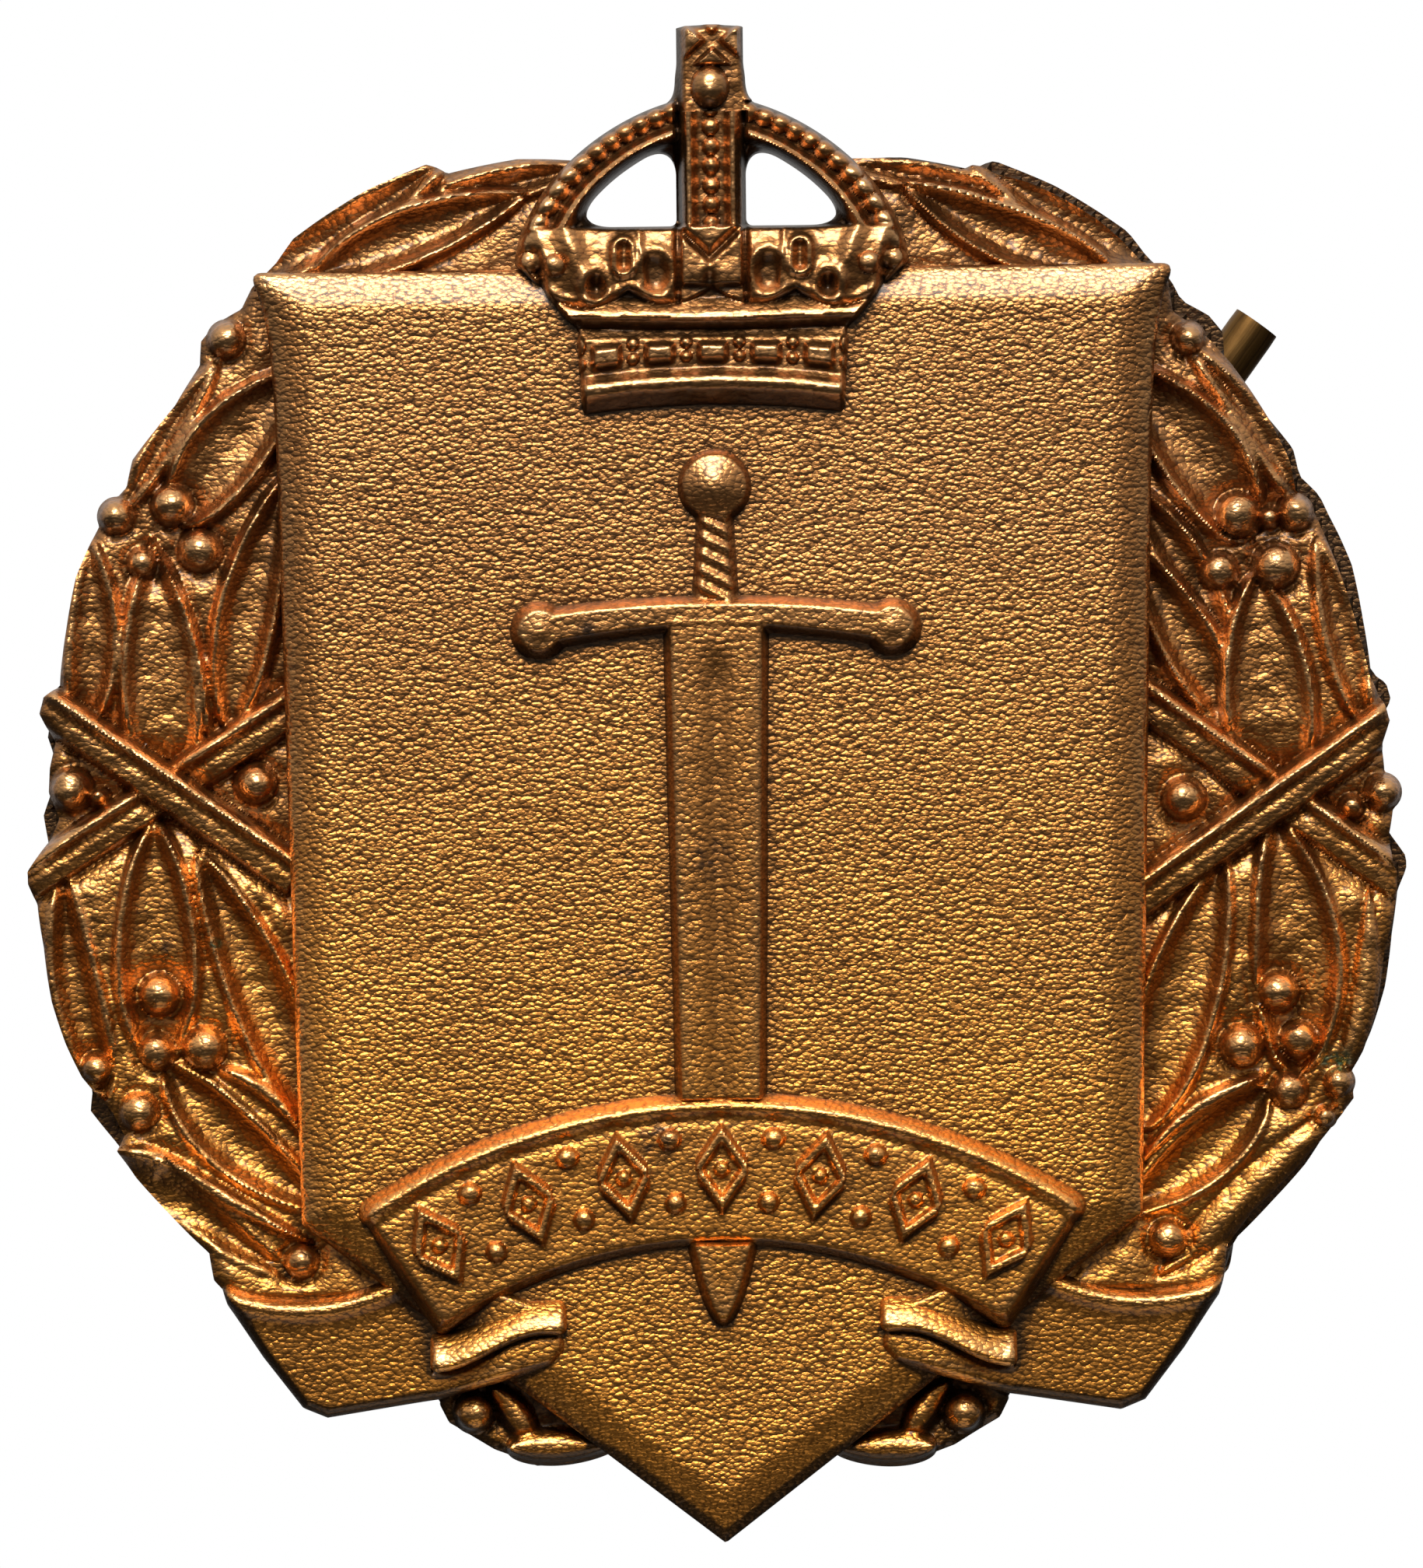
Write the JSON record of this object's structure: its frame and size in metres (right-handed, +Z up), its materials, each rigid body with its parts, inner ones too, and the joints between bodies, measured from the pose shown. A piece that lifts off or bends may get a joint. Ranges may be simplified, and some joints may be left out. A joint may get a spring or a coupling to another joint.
{
  "type": "cap badge",
  "caption": "Die-struck bronze cap badge: crowned shield in a wreath over a scroll, with two lugs and a bent split pin behind.",
  "frame": {"origin": "midway between the two lugs, on the plane of the back rim that lies against the cap", "axes": "+Z up to the crown, +X to the right as seen from the front, -Y out of the badge's face"},
  "size_m": [0.0456, 0.0094, 0.05],
  "materials": {
    "bronze": "struck orange-peel bronze, brown toning in the recesses and bright worn edges",
    "copper": "drawn copper wire, dull",
    "solder": "grey silver solder, rough",
    "pin_brass": "drawn brass wire, dark olive toning"
  },
  "bodies": {
    "badge": {"badge_body": "bronze", "left_lug": "copper", "right_lug": "copper", "left_lug_braze": "solder", "right_lug_braze": "solder"},
    "pin": {"split_pin": "pin_brass"}
  },
  "joints": [
    {"name": "split_pin_turn", "type": "hinge", "parent": "badge", "child": "pin", "pos_m": [0, 0.003, 0], "axis": [1, 0, 0], "range_deg": [-187, 7]}
  ]
}
